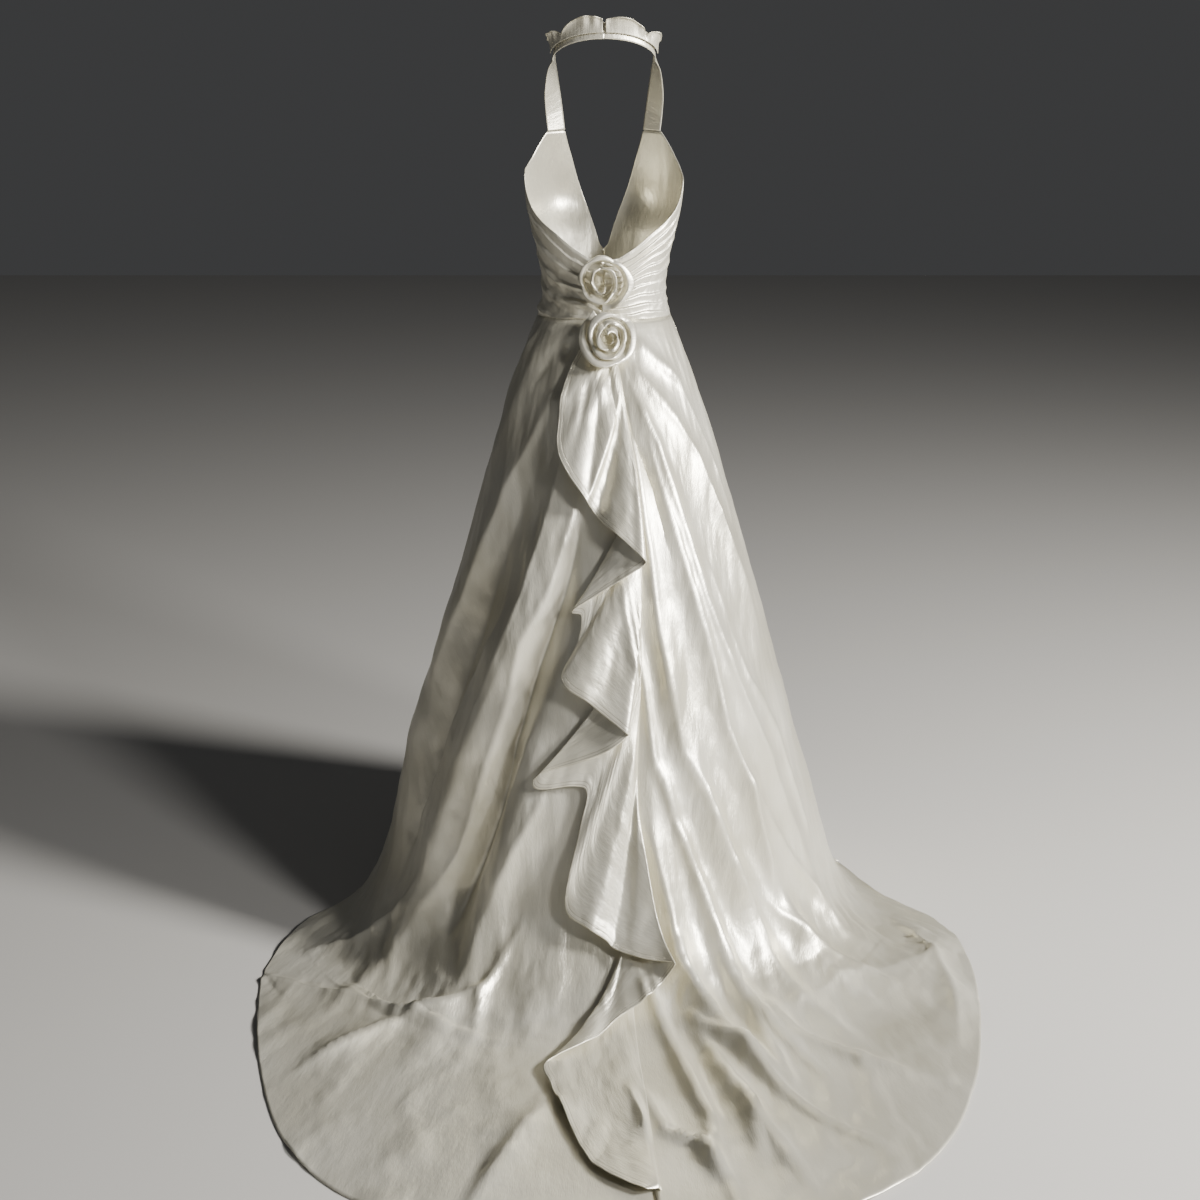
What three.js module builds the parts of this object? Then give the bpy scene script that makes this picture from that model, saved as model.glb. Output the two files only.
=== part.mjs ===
// Halter-neck wedding gown in ivory satin, with a low draped back, two fabric roses,
// a waterfall flounce down the centre back and a chapel train.
// Millimetres. The front faces -Y, the train runs toward +Y and +Z is up.
// The wearer's right is -X. Heights are taken from the floor, and the whole gown is then
// lowered so that the origin is the centre of the neck, where the wearer holds it up.
import * as THREE from 'three';

// ---- driving dimensions -------------------------------------------------------------
const WALL = 2;              // cloth with its turnings
const GAP = 0.36;            // clear space between two pieces at a seam
const LAP = WALL + 0.45;     // lift of a piece that lies on another one
const NECK_Z = 1580;         // height of the neck hold above the floor
const WAIST_Z = 1116;        // seam between bodice and skirt
const WAIST = { side: 117, back: 96, front: 104 };
const FLOOR_RING = { left: 447, right: 462, back: 500, front: 410 };
const FLARE = { all: 10, back: 26, front: 4 };   // fullness over the hip and seat
const SEAM_FORWARD = 18;     // degrees the side seam moves forward on its way to the floor
const LAP_SPAN = 4 / 22;        // share of the over panel that the under panel runs beneath
const TOP_RIGHT = 1348;      // tip of the low back at the wearer's right side
const TOP_LEFT = 1362;
const PLEAT = 3.2;           // height of the bodice pleats
const SATIN = 0xded8c6;

// Hem on the floor: degrees round from the centre back (+ to the wearer's right), x, y.
const HEM = [
  [-180, 0, -410], [-150, 222, -355], [-120, 388, -205], [-108, 430, -100], [-96, 482, 45],
  [-84, 556, 160], [-72, 600, 335], [-60, 587, 500], [-48, 545, 700], [-36, 478, 885],
  [-24, 372, 1020], [-12, 205, 1105], [0, 0, 1135], [12, -215, 1110], [24, -385, 1030],
  [36, -506, 898], [48, -590, 705], [60, -640, 480], [72, -655, 300], [84, -622, 160],
  [96, -532, 35], [108, -474, -105], [120, -398, -205], [150, -228, -355], [180, 0, -410]];

// Torso sections: height, half width, depth behind, depth in front.
const TORSO = [
  [1116, 117, 96, 104], [1156, 108, 88, 92], [1200, 111, 83, 98], [1250, 121, 82, 112],
  [1300, 132, 82, 124], [1350, 138, 78, 124], [1400, 134, 70, 114], [1450, 124, 62, 100]];

// Upper edge of the bodice: degrees round from the centre back, height.
const TOP_EDGE = [
  [0, 1217], [13, 1221], [27, 1238], [42, 1262], [56, 1280], [70, 1301], [82, 1325],
  [90, 1350], [100, 1362], [112, 1386], [128, 1430], [147, 1432], [155, 1385],
  [168, 1290], [176, 1231], [180, 1222]];

// Left edge of the over panel and seam of the flounce: length down from the waist, degrees.
const WRAP_LINE = [
  [0, 4], [76, 5], [136, 9], [239, 12], [411, 12.5], [652, 9.8], [825, 7.3], [997, 5.6],
  [1195, 4.8], [1461, 4.5], [1700, 4.3]];

// Folds of the skirt: spread, then points of length down, degrees, height (- is a trough).
const FOLDS = [
  { w: 40, at: [[10, -44, 4], [60, -48, 13], [150, -54, 14], [240, -60, 8], [320, -62, 0]] },
  { w: 50, at: [[90, -27, 0], [295, -48, 11], [565, -66, 18], [800, -76, 17], [1060, -80, 0]] },
  { w: 42, at: [[150, -24, 0], [335, -38, -11], [575, -52, -20], [800, -60, -22], [970, -64, -14],
    [1100, -66, 0]] },
  { w: 44, at: [[180, -14, 0], [320, -17, 9], [545, -29, 17], [780, -42, 24], [945, -47, 24],
    [1100, -50, 17], [1300, -52, 5], [1500, -52, 0]] },
  { w: 38, at: [[300, -9, 0], [435, -14, -9], [640, -24, -16], [880, -33, -21], [1010, -37, -16],
    [1150, -40, 0]] },
  { w: 40, at: [[500, -9, 0], [700, -18, 9], [900, -25, 15], [1060, -29, 15], [1250, -30, 6],
    [1500, -30, 0]] },
  { w: 34, at: [[60, 12, 0], [170, 36, 4], [350, 53, 8], [500, 60, 8], [800, 68, 0]] },
  { w: 36, at: [[60, 10, 0], [210, 24, 5], [500, 36, 10], [790, 50, 15], [950, 57, 14], [1100, 61, 10],
    [1350, 64, 0]] },
  { w: 34, at: [[150, 20, 0], [415, 27, 7], [600, 33, 10], [825, 40, 14], [965, 43, 16],
    [1100, 46, 14], [1300, 49, 6], [1500, 50, 0]] },
  { w: 34, at: [[120, 13, 0], [350, 16, 6], [665, 21, 12], [960, 31, 17], [1100, 35, 14],
    [1300, 39, 8], [1520, 41, 0]] },
  { w: 34, at: [[700, 11, 0], [895, 13, 9], [1010, 15, 13], [1120, 16, 15], [1270, 18, 13],
    [1395, 21, 10], [1560, 24, 0]] }];

// Free edge of the flounce. Each row: length down and degrees on the seam, then length down,
// degrees and stand-off of the free edge from the skirt.
const FLOUNCE = [
  [22, 6.5, 22, -10, 9], [36, 6.5, 60, -17, 10], [50, 7, 95, -21, 12], [64, 7.5, 165, -21.5, 26],
  [80, 8, 235, -18.6, 34], [104, 9, 303, -7.8, 33], [122, 9.6, 322, -5.2, 24],
  [140, 10.2, 345, -1.5, 34], [166, 11, 379, 5.6, 44], [192, 11.4, 412, 11.2, 50],
  [214, 11.7, 423, 12.2, 40], [238, 12, 440, 7.3, 31], [270, 12.1, 468, -1.4, 24],
  [300, 12.2, 500, -10.4, 18], [318, 12.2, 508, -7.5, 14], [338, 12.3, 552, -8.2, 18],
  [372, 12.3, 617, -11.9, 30], [410, 12.4, 656, -3.8, 38], [450, 12.2, 702, 4.6, 50],
  [476, 12, 714, 5.4, 41], [508, 11.6, 744, -1.1, 31], [540, 11.1, 782, -16.5, 22],
  [560, 10.9, 808, -17.2, 17], [580, 10.7, 800, -8, 14], [596, 10.5, 812, -4.5, 15],
  [620, 10.2, 876, -6.1, 18], [646, 9.9, 1005, -8.8, 30], [684, 9.4, 1047, -3.6, 37],
  [716, 9, 1072, 0.2, 32], [742, 8.6, 1090, 2, 24], [778, 8, 1118, 6.9, 38],
  [820, 7.4, 1150, 12.4, 46], [858, 7, 1180, 11.3, 36], [900, 6.5, 1224, 7.2, 28],
  [948, 6.1, 1262, 2, 22], [1000, 5.6, 1322, -2.3, 21], [1060, 5.3, 1384, -8.6, 16],
  [1120, 5, 1440, -7.2, 12], [1200, 4.8, 1508, -5.1, 11], [1300, 4.7, 1564, -3.6, 11],
  [1420, 4.6, 1640, -1.4, 10], [1540, 4.4, 1684, 1, 10], [1690, 4.3, 1712, 3.3, 10]];

// ---- curves --------------------------------------------------------------------------
const V = (x, y, z) => new THREE.Vector3(x, y, z);
const rad = (deg) => deg * Math.PI / 180;
const clamp = (t, lo, hi) => Math.min(hi, Math.max(lo, t));
const smooth = (t) => { const q = clamp(t, 0, 1); return q * q * (3 - 2 * q); };

// Smooth curve through rows of [key, value, value ...], read at a key.
function curve(rows, key) {
  const k = clamp(key, rows[0][0], rows[rows.length - 1][0]);
  let i = 0;
  while (i < rows.length - 2 && k > rows[i + 1][0]) i += 1;
  const slope = (j, c) => {
    const a = rows[Math.max(0, j - 1)];
    const b = rows[Math.min(rows.length - 1, j + 1)];
    return (b[c] - a[c]) / (b[0] - a[0]);
  };
  const span = rows[i + 1][0] - rows[i][0];
  const t = (k - rows[i][0]) / span;
  const out = [];
  for (let c = 1; c < rows[i].length; c += 1) {
    out.push((2 * t ** 3 - 3 * t ** 2 + 1) * rows[i][c] + (t ** 3 - 2 * t ** 2 + t) * span * slope(i, c)
      + (3 * t ** 2 - 2 * t ** 3) * rows[i + 1][c] + (t ** 3 - t ** 2) * span * slope(i + 1, c));
  }
  return out;
}

// Straight line through rows of [key, value ...], read at a key.
function line(rows, key) {
  const k = clamp(key, rows[0][0], rows[rows.length - 1][0]);
  let i = 0;
  while (i < rows.length - 2 && k > rows[i + 1][0]) i += 1;
  const t = (k - rows[i][0]) / (rows[i + 1][0] - rows[i][0]);
  return rows[i].slice(1).map((v, c) => v + (rows[i + 1][c + 1] - v) * t);
}

// ---- skirt surface -------------------------------------------------------------------
const wrap = (deg) => (deg > 180 ? deg - 360 : deg);

function waistAt(deg) {
  const c = Math.cos(rad(deg));
  return V(-WAIST.side * Math.sin(rad(deg)), c * (c > 0 ? WAIST.back : WAIST.front), WAIST_Z);
}

function floorAt(deg) {
  const c = Math.cos(rad(deg));
  const a = deg < 0 ? FLOOR_RING.left : FLOOR_RING.right;
  return V(-a * Math.sin(rad(deg)), c * (c > 0 ? FLOOR_RING.back : FLOOR_RING.front), 0);
}

// Lengths of cloth down the hanging part and out along the floor.
function lengths(deg) {
  const d = wrap(deg);
  const ring = floorAt(d);
  const hem = curve(HEM, d);
  return [waistAt(d).distanceTo(ring), Math.hypot(hem[0] - ring.x, hem[1] - ring.y)];
}

// Smooth skirt with no folds: degrees round, length down from the waist seam.
function plainSkirt(deg, s) {
  const d = wrap(deg);
  const top = waistAt(d);
  const ring = floorAt(d);
  const hem = V(...curve(HEM, d), 0);
  const [down, along] = lengths(d);
  const c = Math.cos(rad(d));
  const bend = Math.max(0.001, Math.min(90 + 110 * clamp(c, 0, 1), along));
  const p = top.clone().lerp(ring, clamp(s, 0, down - bend) / down);
  const q = clamp((s - down + bend) / (2 * bend), 0, 1);
  if (q > 0) {
    const a = top.clone().lerp(ring, (down - bend) / down);
    const b = ring.clone().lerp(hem, along > 1 ? bend / along : 0);
    p.copy(a.multiplyScalar((1 - q) ** 2)).addScaledVector(ring, 2 * q * (1 - q)).addScaledVector(b, q * q);
  }
  if (s > down + bend) p.copy(ring.clone().lerp(hem, clamp((s - down) / Math.max(along, 0.001), 0, 1)));
  const full = FLARE.all + FLARE.back * clamp(c, 0, 1) + FLARE.front * clamp(-c, 0, 1);
  const rise = full * Math.sin(Math.PI * clamp(s / down, 0, 1) ** 0.55) ** 1.3;
  const out = V(ring.x - top.x, ring.y - top.y, 0).normalize();
  return p.addScaledVector(out, Number.isFinite(rise) ? rise : 0);
}

// Normal of a surface given by two numbers, turned to the side of `toward`.
function normalOf(surface, a, b, da, db, toward) {
  const u = surface(a + da, b).sub(surface(a - da, b));
  const v = surface(a, b + db).sub(surface(a, b - db));
  const n = u.cross(v).normalize();
  return n.dot(toward) < 0 ? n.negate() : n;
}

const outward = (deg) => V(-Math.sin(rad(deg)), Math.cos(rad(deg)), 0.6);

function foldHeight(deg, s) {
  const d = wrap(deg);
  const p = plainSkirt(d, s);
  const reach = Math.hypot(p.x, p.y) * Math.PI / 180;
  let h = 0;
  for (const fold of FOLDS) {
    const last = fold.at[fold.at.length - 1];
    if (s > fold.at[0][0] && s < last[0]) {
      const [centre, height] = line(fold.at, s);
      h += height * Math.exp(-(Math.abs((d - centre) * reach / fold.w) ** 1.7));
    }
  }
  h *= smooth((90 + SEAM_FORWARD * clamp(s / 1180, 0, 1) - Math.abs(d)) / 12);
  const [down] = lengths(d);
  const lying = smooth((s - down + 160) / 200);
  return h * (1 - lying) + lying * 0.5 * (h + Math.sqrt(h * h + 9) - 3);
}

function skirtFace(deg, s) {
  const d = wrap(deg);
  const n = normalOf(plainSkirt, d, s, 0.05, 1.5, outward(d));
  const p = plainSkirt(d, s).addScaledVector(n, foldHeight(d, s));
  p.z = Math.max(0, p.z);
  return p;
}

// A point of the folded skirt, raised by `lift` along the cloth's own normal: level at the waist
// seam, and straight up where the train lies flat.
function onSkirt(deg, s, lift) {
  const [down, along] = lengths(deg);
  const p = skirtFace(deg, s);
  const n = normalOf(skirtFace, deg, Math.min(s, down + along - 6), 0.4, 5, outward(deg));
  if (s < 12) n.setZ(0).normalize();
  if (along > 60 && p.z < 3) n.set(0, 0, 1);
  p.addScaledVector(n, lift);
  p.z = Math.max(0, p.z);
  return p;
}

// ---- sheets --------------------------------------------------------------------------
// A closed sheet from two grids of points, face by face, with its four edges drawn in.
function sheet(name, nc, nr, under, over) {
  const at = (fn) => {
    const g = [];
    for (let r = 0; r <= nr; r += 1) for (let c = 0; c <= nc; c += 1) g.push(fn(c / nc, r / nr, c, r));
    return g;
  };
  const id = (c, r) => r * (nc + 1) + c;
  const grids = [at(under), at(over)];
  const drawIn = (g) => {
    const old = g.map((p) => p.clone());
    const move = (i, j, before, after) => {
      const step = old[j].clone().sub(old[i]);
      const along = old[after].clone().sub(old[before]).normalize();
      step.addScaledVector(along, -step.dot(along));
      g[i].addScaledVector(step, Math.min(0.4, GAP / 2 / Math.max(step.length(), 0.01)));
    };
    for (let r = 0; r <= nr; r += 1) {
      const [a, b] = [Math.max(0, r - 1), Math.min(nr, r + 1)];
      move(id(0, r), id(1, r), id(0, a), id(0, b));
      move(id(nc, r), id(nc - 1, r), id(nc, a), id(nc, b));
    }
    for (let c = 0; c <= nc; c += 1) {
      const [a, b] = [Math.max(0, c - 1), Math.min(nc, c + 1)];
      move(id(c, 0), id(c, 1), id(a, 0), id(b, 0));
      move(id(c, nr), id(c, nr - 1), id(a, nr), id(b, nr));
    }
  };
  grids.forEach(drawIn);
  const points = grids.flat();
  const half = grids[0].length;
  const faces = [];
  const quad = (a, b, c, d) => {
    if (points[a].distanceTo(points[c]) < points[b].distanceTo(points[d])) faces.push([a, b, c], [a, c, d]);
    else faces.push([a, b, d], [b, c, d]);
  };
  const pair = (a, b, c, d) => {
    const swap = grids[1][a].distanceTo(grids[1][c]) < grids[1][b].distanceTo(grids[1][d]);
    const tri = swap ? [[a, b, c], [a, c, d]] : [[a, b, d], [b, c, d]];
    for (const [i, j, k] of tri) faces.push([half + i, half + j, half + k], [k, j, i]);
  };
  for (let r = 0; r < nr; r += 1) {
    for (let c = 0; c < nc; c += 1) pair(id(c, r), id(c + 1, r), id(c + 1, r + 1), id(c, r + 1));
  }
  for (let c = 0; c < nc; c += 1) {
    quad(id(c, 0), id(c + 1, 0), half + id(c + 1, 0), half + id(c, 0));
    quad(id(c + 1, nr), id(c, nr), half + id(c, nr), half + id(c + 1, nr));
  }
  for (let r = 0; r < nr; r += 1) {
    quad(id(0, r + 1), id(0, r), half + id(0, r), half + id(0, r + 1));
    quad(id(nc, r), id(nc, r + 1), half + id(nc, r + 1), half + id(nc, r));
  }
  return solid(name, points, faces);
}

function solid(name, points, faces) {
  let volume = 0;
  for (const [a, b, c] of faces) volume += points[a].dot(points[b].clone().cross(points[c]));
  const turned = volume < 0 ? faces.map(([a, b, c]) => [a, c, b]) : faces;
  const geometry = new THREE.BufferGeometry();
  geometry.setAttribute('position', new THREE.Float32BufferAttribute(points.flatMap((p) => [p.x, p.y, p.z]), 3));
  geometry.setIndex(turned.flat());
  const mesh = new THREE.Mesh(geometry, new THREE.MeshStandardMaterial({ color: SATIN, roughness: 0.35 }));
  mesh.name = name;
  return mesh;
}

// A sheet whose two faces are the same surface raised by two amounts.
const layer = (name, nc, nr, surface) => sheet(name, nc, nr,
  (c, r) => surface(c, r, 0), (c, r) => surface(c, r, WALL));

// ---- skirt panels --------------------------------------------------------------------
// Rows run from the waist to the hem: closer at the top and where the cloth meets the floor.
const ROWS = [0, 0.022, 0.05, 0.085, 0.13, 0.18, 0.235, 0.29, 0.345, 0.4, 0.455, 0.51, 0.56, 0.605,
  0.645, 0.69, 0.745, 0.8, 0.87, 1];
const rowAt = (r) => ROWS[Math.round(r * (ROWS.length - 1))];

const KNEE = 0.62;

// Length down the cloth for a share of it: the knee falls where the cloth meets the floor.
function hangAt(deg, share) {
  const [down, along] = lengths(deg);
  const kneed = share < KNEE ? down * share / KNEE : down + along * (share - KNEE) / (1 - KNEE);
  const even = 1 - smooth(along / 150);
  return kneed * (1 - even) + (down + along) * share * even;
}

// The side seam leaves the waist at the side and runs forward to where the train begins.
const seamAt = (share) => 90 + SEAM_FORWARD * Math.min(1, share / KNEE);

function backPoint(side, c, share, lift) {
  const edge = side * seamAt(share);
  let deg = edge;
  for (let k = 0; k < 3; k += 1) {
    const seam = line(WRAP_LINE, hangAt(deg, share))[0];
    deg = seam + c * (edge - seam);
  }
  return onSkirt(deg, hangAt(deg, share), lift);
}

function underPanel() {
  const nc = 26;
  const laps = 4;
  return layer('skirt_back_left', nc, ROWS.length - 1, (c, r, t) => {
    const k = Math.round(c * nc) - laps;
    if (k < 0) return backPoint(1, -k / laps * LAP_SPAN, rowAt(r), t);
    return backPoint(-1, k / (nc - laps), rowAt(r), t);
  });
}

function overPanel() {
  const nc = 22;
  return layer('skirt_back_right', nc, ROWS.length - 1, (c, r, t) => {
    const lift = LAP * (1 - smooth((c - LAP_SPAN - 0.04) / 0.2));
    return backPoint(1, c, rowAt(r), lift + t);
  });
}

function frontPanel() {
  return layer('skirt_front', 10, ROWS.length - 1, (c, r, t) => {
    const share = rowAt(r);
    const deg = 180 + (2 * c - 1) * (180 - seamAt(share));
    return onSkirt(deg, hangAt(deg, share), t);
  });
}

// ---- waterfall flounce ---------------------------------------------------------------
const FLOUNCE_ROWS = FLOUNCE.length;

function flouncePoint(along, across) {
  const row = line(FLOUNCE.map((f, i) => [i, ...f]), along * (FLOUNCE_ROWS - 1));
  const [s0, deg0, s1, deg1, out] = row;
  const first = 2 * LAP + WALL / 2 + 2.2;
  const s = s0 + (s1 - s0) * across;
  const deg = deg0 + (deg1 - deg0) * across;
  const stand = first + (out - first) * across ** 0.75;
  const n = normalOf(plainSkirt, deg, s, 0.3, 4, outward(deg));
  const under = Math.max(0, ...[-2, 0, 2].map((d) => foldHeight(deg + d, s)));
  const p = plainSkirt(deg, s).addScaledVector(n, stand + under);
  p.z = Math.max(2 * LAP + 1, p.z);
  return p;
}

// The strip turns over at each tip, so its wall grows to both sides of one surface, along normals
// that keep the same face of the cloth on the same side all the way down.
function flounce() {
  const nc = 5;
  const nr = FLOUNCE_ROWS - 1;
  const middle = [];
  for (let r = 0; r <= nr; r += 1) {
    for (let c = 0; c <= nc; c += 1) middle.push(flouncePoint(r / nr, c / nc));
  }
  const at = (c, r) => middle[clamp(r, 0, nr) * (nc + 1) + clamp(c, 0, nc)];
  const face = (across, along, t) => {
    const [c, r] = [Math.round(across * nc), Math.round(along * nr)];
    const here = at(c, r);
    const n = V(0, 0, 0);
    for (const [i, j] of [[1, 1], [-1, 1], [-1, -1], [1, -1]]) {
      const corner = at(c + i, r).clone().sub(here).cross(at(c, r + j).clone().sub(here));
      n.addScaledVector(corner.normalize(), i * j);
    }
    return here.clone().addScaledVector(n.normalize(), t - WALL / 2);
  };
  return layer('flounce', nc, nr, face);
}

// ---- bodice --------------------------------------------------------------------------
function torso(deg, z, out) {
  const [side, back, front] = curve(TORSO, z);
  const c = Math.cos(rad(deg));
  const p = V(-side * Math.sin(rad(deg)), c * (c > 0 ? back : front), z);
  const bust = 13 * Math.exp(-(((Math.abs(p.x) - 72) / 42) ** 2) - (((z - 1308) / 42) ** 2));
  const n = V(p.x / side ** 2, p.y / (c > 0 ? back : front) ** 2, 0).normalize();
  return p.addScaledVector(n, (c < 0 ? bust : 0) + out);
}

function topEdge(deg) {
  const a = Math.abs(deg);
  const raised = deg < 0 ? (TOP_LEFT - TOP_RIGHT) * Math.exp(-(((a - 92) / 14) ** 2)) : 0;
  return line(TOP_EDGE, a)[0] + raised;
}

// Pleats fan from the roses to the side seam: six of them, alternate rows raised.
function backBodice(name, side) {
  const nc = 11;
  const nr = 12;
  return layer(name, nc, nr, (c, r, t) => {
    const deg = side * 90 * c;
    const z = WAIST_Z + (topEdge(deg) - WAIST_Z) * r;
    const odd = Math.round(r * nr) % 2;
    const fan = PLEAT * odd * smooth(c * 6) * smooth((1 - c) * 5);
    return torso(deg, z, fan + t);
  });
}

function frontBodice(name, side) {
  const columns = [90, 98, 106, 117, 128, 137, 147, 152, 158, 168, 176, 180];
  const nc = columns.length - 1;
  return layer(name, nc, 8, (c, r, t) => {
    const deg = side * columns[Math.round(c * nc)];
    return torso(deg, WAIST_Z + (topEdge(deg) - WAIST_Z) * r, t);
  });
}

// ---- neck ----------------------------------------------------------------------------
const BAND = { side: 88, back: 60, low: 1550, arch: 34, tall: 28, lean: 4 };

function bandPoint(side, c, r, out) {
  const a = rad(90 * c);
  const inward = BAND.lean * r;
  const p = V(-side * (BAND.side - inward) * Math.sin(a), (BAND.back - inward) * Math.cos(a),
    BAND.low + BAND.arch * Math.cos(a) + BAND.tall * r);
  const n = V(-side * Math.sin(a) / BAND.side, Math.cos(a) / BAND.back, 0).normalize();
  return p.addScaledVector(n, out);
}

const band = (name, side) => layer(name, 9, 1, (c, r, t) => bandPoint(side, c, r, t));

// Ruffle sewn to the band: it stands up and rolls outward in lobes.
function ruffle(name, side) {
  return layer(name, 18, 3, (c, r, t) => {
    const first = Math.sin(Math.PI * (c + 0.13) / 0.71);
    const second = 0.8 * Math.sin(Math.PI * (c - 0.58) / 0.55);
    const lobes = Math.max(0, c < 0.58 ? first : second) ** 0.7;
    const out = LAP + 0.4 + (3 + 13 * lobes) * r ** 1.3;
    const up = 0.36 + (0.72 + 0.22 * lobes) * r;
    return bandPoint(side, 0.02 + 0.95 * c, up, out + t);
  });
}

// Strap from the end of the band over the collar bone to the peak of the cup.
const STRAP_OUT = [[0, 88, -1, 1550], [0.25, 98, -24, 1533], [0.5, 104, -46, 1496], [0.75, 103, -60, 1462],
  [1, 100, -66, 1431]];
const STRAP_IN = [[0, 84, -1, 1578], [0.25, 85, -36, 1555], [0.5, 80, -68, 1514], [0.75, 75, -82, 1476],
  [1, 70, -88, 1433]];

function strap(name, side) {
  const point = (c, r) => {
    const a = V(...curve(STRAP_OUT, c));
    const p = a.lerp(V(...curve(STRAP_IN, c)), r);
    return V(-side * p.x, p.y, p.z);
  };
  return layer(name, 8, 1, (c, r, t) => {
    const out = V(-side * 0.7, c < 0.15 ? 0.1 : -0.6, 0.3);
    const n = normalOf(point, clamp(c, 0.02, 0.98), clamp(r, 0.05, 0.95), 0.01, 0.04, out);
    return point(c, r).addScaledVector(n, t);
  });
}

// ---- roses ---------------------------------------------------------------------------
// Distance of the gown's back from the axis at a point x, z: a rose follows what it is sewn to.
function backFace(x, z) {
  if (z > WAIST_Z) {
    const [side, back] = curve(TORSO, z);
    return back * Math.sqrt(Math.max(0.05, 1 - (x / side) ** 2));
  }
  let deg = 0;
  let s = 0;
  for (let k = 0; k < 6; k += 1) {
    const p = plainSkirt(deg, s);
    s = Math.max(0, s + (p.z - z) * 1.05);
    deg += (p.x - x) / 2.4;
  }
  return plainSkirt(deg, s).y;
}

// A bias strip rolled into a rose: centre on the back, radii, turns and petal height.
function rose(name, spec) {
  return layer(name, spec.steps, 3, (c, r, t) => {
    const a = rad(spec.start) + 2 * Math.PI * spec.turns * c;
    const grow = spec.inner + (spec.outer - spec.inner) * c;
    const ripple = 1 + spec.ripple * Math.sin(spec.petals * a / spec.turns + 0.7) * c * r;
    const reach = grow * ripple + spec.flare * (0.25 + 0.75 * c) * r ** 1.6 + t;
    const x = spec.x + spec.wide * reach * Math.cos(a);
    const z = spec.z + reach * Math.sin(a);
    const under = spec.clear + spec.step * smooth((spec.x + spec.wide * reach * Math.cos(a) + 36) / 20);
    const base = backFace(spec.x + spec.wide * (reach - t) * Math.cos(a), z) + under;
    const tall = spec.tall * (1 - 0.35 * c) * (1 + 0.12 * Math.sin(5 * a));
    return V(x, base + tall * r, z);
  });
}

const ROSE_LOW = { x: -10, z: 1092, inner: 7, outer: 37, turns: 3, steps: 46, tall: 34, flare: 10,
  petals: 9, ripple: 0.08, wide: 1, start: 20, clear: 6.5, step: 12 };
const ROSE_TOP = { x: 5, z: 1184, inner: 9, outer: 34, turns: 1.6, steps: 30, tall: 28, flare: 9,
  petals: 4, ripple: 0.12, wide: 0.94, start: 200, clear: 6, step: 0 };

// ---- the gown ------------------------------------------------------------------------
function gown() {
  const group = new THREE.Group();
  group.name = 'wedding_dress';
  group.add(
    band('collar_band_right', 1), band('collar_band_left', -1),
    ruffle('collar_ruffle_right', 1), ruffle('collar_ruffle_left', -1),
    strap('halter_strap_right', 1), strap('halter_strap_left', -1),
    frontBodice('bodice_front_right', 1), frontBodice('bodice_front_left', -1),
    backBodice('bodice_back_right', 1), backBodice('bodice_back_left', -1),
    rose('rose_upper', ROSE_TOP), rose('rose_lower', ROSE_LOW),
    frontPanel(), underPanel(), overPanel(), flounce());
  group.traverse((m) => {
    if (m.isMesh) m.geometry.translate(0, 0, -NECK_Z);
  });
  return group;
}

export default gown();
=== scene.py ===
# %% [markdown]
# # A halter-neck wedding dress with a waterfall flounce
# The dress stands hollow, as if worn, with its train spread on the floor. Every piece of cloth is
# a curved surface that two numbers describe: how far round the body, and how far down the cloth.
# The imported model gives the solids; here each one is replaced by a thin shell on the same form,
# with the finer folds, pleats and hems that satin shows.

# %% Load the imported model
import math

import bmesh
import bpy
import numpy as np
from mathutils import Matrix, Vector, noise


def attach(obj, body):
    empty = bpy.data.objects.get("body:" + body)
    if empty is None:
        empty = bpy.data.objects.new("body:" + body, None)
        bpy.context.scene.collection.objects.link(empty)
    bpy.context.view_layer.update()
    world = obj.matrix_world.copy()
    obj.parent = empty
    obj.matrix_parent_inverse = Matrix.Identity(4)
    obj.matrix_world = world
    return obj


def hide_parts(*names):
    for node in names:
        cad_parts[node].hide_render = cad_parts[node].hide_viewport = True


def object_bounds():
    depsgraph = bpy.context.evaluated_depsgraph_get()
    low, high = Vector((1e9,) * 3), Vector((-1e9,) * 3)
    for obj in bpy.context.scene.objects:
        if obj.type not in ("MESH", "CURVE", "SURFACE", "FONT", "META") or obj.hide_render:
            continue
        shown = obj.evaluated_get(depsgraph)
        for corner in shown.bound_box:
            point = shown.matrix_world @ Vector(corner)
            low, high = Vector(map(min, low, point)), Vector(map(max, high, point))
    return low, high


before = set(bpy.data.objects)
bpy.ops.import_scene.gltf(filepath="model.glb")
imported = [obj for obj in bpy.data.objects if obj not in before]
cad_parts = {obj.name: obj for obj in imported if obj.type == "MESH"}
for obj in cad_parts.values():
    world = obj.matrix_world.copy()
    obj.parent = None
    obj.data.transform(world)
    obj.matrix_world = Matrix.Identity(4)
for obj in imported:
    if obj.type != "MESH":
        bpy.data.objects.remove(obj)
cad_box = [list(corner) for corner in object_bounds()]
NECK = 1.58          # height of the neck hold, the row's origin, above the floor
CLOTH = 0.0012       # thickness of the satin with its turnings
WALL = 0.002         # thickness of the solids that the cloth stands for
LAP = WALL + 0.00045
print("CAD box", [[round(x, 3) for x in corner] for corner in cad_box])

# %% [markdown]
# ## Shader maths in plain Python
# A satin is a colour, a roughness and a bump that change together over the cloth. Writing each
# Math node by hand hides the idea, so one small class wraps a socket and lets `+`, `*` and the
# like add the nodes.

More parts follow.
